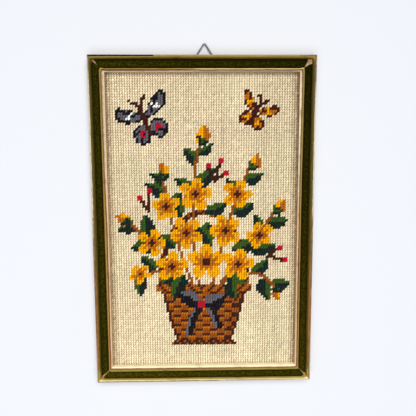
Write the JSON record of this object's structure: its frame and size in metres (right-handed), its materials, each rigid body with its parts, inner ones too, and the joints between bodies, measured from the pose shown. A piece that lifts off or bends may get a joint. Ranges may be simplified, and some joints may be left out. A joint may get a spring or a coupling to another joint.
{
  "type": "embroidered picture in its velvet-inlaid wood frame",
  "caption": "Upright needlework picture of a flower basket, in a slim gilt wood frame inlaid with velvet, with a wire hanging ring at its top.",
  "frame": {"origin": "on the surface it lies on, under the middle of its whole box, with the hanging ring", "axes": "it lies on its back: +Z out of the picture's face, +Y towards the picture's top, +X to its right"},
  "size_m": [0.226, 0.3496, 0.0159],
  "materials": {
    "wool": "wool stitches on canvas",
    "gilt_wood": "worn gilt over red bole, cream at the edges",
    "velvet": "short moss-green pile",
    "card": "matt grey-brown card",
    "steel": "dull, darkened"
  },
  "bodies": {
    "root": {"needlework": "wool", "rail_top": "gilt_wood", "rail_bottom": "gilt_wood", "rail_left": "gilt_wood", "rail_right": "gilt_wood", "velvet_top": "velvet", "velvet_bottom": "velvet", "velvet_left": "velvet", "velvet_right": "velvet", "backing_board": "card", "hanger_ring": "steel", "hanger_strap": "steel", "hanger_nail": "steel", "brad_1": "steel", "brad_2": "steel", "brad_3": "steel", "brad_4": "steel", "brad_5": "steel", "brad_6": "steel", "brad_7": "steel", "brad_8": "steel"}
  },
  "joints": []
}
